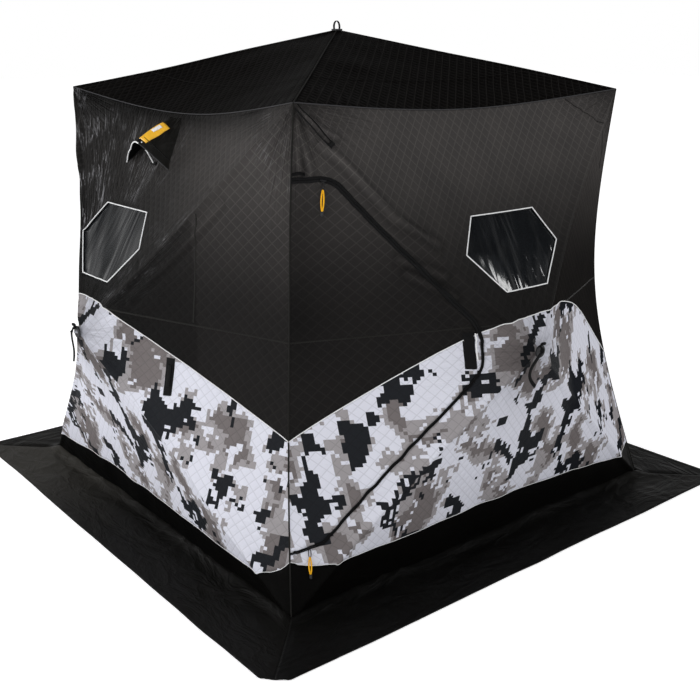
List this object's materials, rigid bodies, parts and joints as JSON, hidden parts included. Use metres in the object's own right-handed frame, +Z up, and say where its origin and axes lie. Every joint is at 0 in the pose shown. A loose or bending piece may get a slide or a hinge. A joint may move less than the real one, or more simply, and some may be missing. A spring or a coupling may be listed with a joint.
{
  "type": "ice fishing hut",
  "caption": "Pop-up ice fishing shelter: quilted fabric walls and roof bowed over hub poles, zipped D-shaped door flap, vinyl windows, vent hood and snow skirt.",
  "frame": {"origin": "on the ground at the middle of the hut", "axes": "+Z up, -Y out through the door wall"},
  "size_m": [2.6236, 2.6236, 2.0838],
  "materials": {
    "black_quilted_fabric": "diamond-quilted insulated polyester, slight sheen",
    "camo_quilted_fabric": "diamond-quilted insulated polyester printed with square-cell winter camo",
    "plain_black_fabric": "plain coated polyester, unquilted",
    "clear_vinyl": "clear flexible vinyl",
    "zipper_nylon": "coil zipper and tape",
    "black_webbing": "woven webbing",
    "moulded_nylon": "moulded glass-filled nylon",
    "fibreglass_rod": "pultruded fibreglass rod"
  },
  "bodies": {
    "hut": {"back_base_band": "plain_black_fabric", "back_bottom_panel": "camo_quilted_fabric", "back_left_panel": "black_quilted_fabric", "back_poles": "fibreglass_rod", "back_right_panel": "black_quilted_fabric", "back_roof_panel": "black_quilted_fabric", "back_snow_skirt": "plain_black_fabric", "back_top_panel": "black_quilted_fabric", "door_header": "black_quilted_fabric", "door_side_lower": "black_quilted_fabric", "door_side_upper": "black_quilted_fabric", "door_sill": "black_quilted_fabric", "front_base_band": "plain_black_fabric", "front_bottom_panel": "camo_quilted_fabric", "front_poles": "fibreglass_rod", "front_right_panel": "black_quilted_fabric", "front_roof_panel": "black_quilted_fabric", "front_snow_skirt": "plain_black_fabric", "front_top_panel": "black_quilted_fabric", "left_base_band": "plain_black_fabric", "left_bottom_panel": "camo_quilted_fabric", "left_left_panel": "black_quilted_fabric", "left_poles": "fibreglass_rod", "left_right_panel": "black_quilted_fabric", "left_roof_panel": "black_quilted_fabric", "left_snow_skirt": "plain_black_fabric", "left_top_panel": "black_quilted_fabric", "left_vent_hood": "black_quilted_fabric", "right_base_band": "plain_black_fabric", "right_bottom_panel": "camo_quilted_fabric", "right_left_panel": "black_quilted_fabric", "right_poles": "fibreglass_rod", "right_right_panel": "black_quilted_fabric", "right_roof_panel": "black_quilted_fabric", "right_snow_skirt": "plain_black_fabric", "right_top_panel": "black_quilted_fabric", "roof_hub": "moulded_nylon", "roof_poles": "fibreglass_rod", "roof_pull_loop": "black_webbing", "wall_hubs": "moulded_nylon", "wall_pull_straps": "black_webbing", "webbing_patches": "black_webbing", "window_panes": "clear_vinyl", "zipper_frame_tape": "zipper_nylon"},
    "door": {"door_flap": "black_quilted_fabric", "zipper_flap_tape": "zipper_nylon", "zipper_pulls": "zipper_nylon", "door_tie_patch": "black_webbing"}
  },
  "joints": [
    {"name": "door_hinge", "type": "hinge", "parent": "hut", "child": "door", "pos_m": [-0.8995, -0.8995, 0.905], "axis": [-0.0876, -0.0876, -0.9923], "range_deg": [0, 110]}
  ]
}
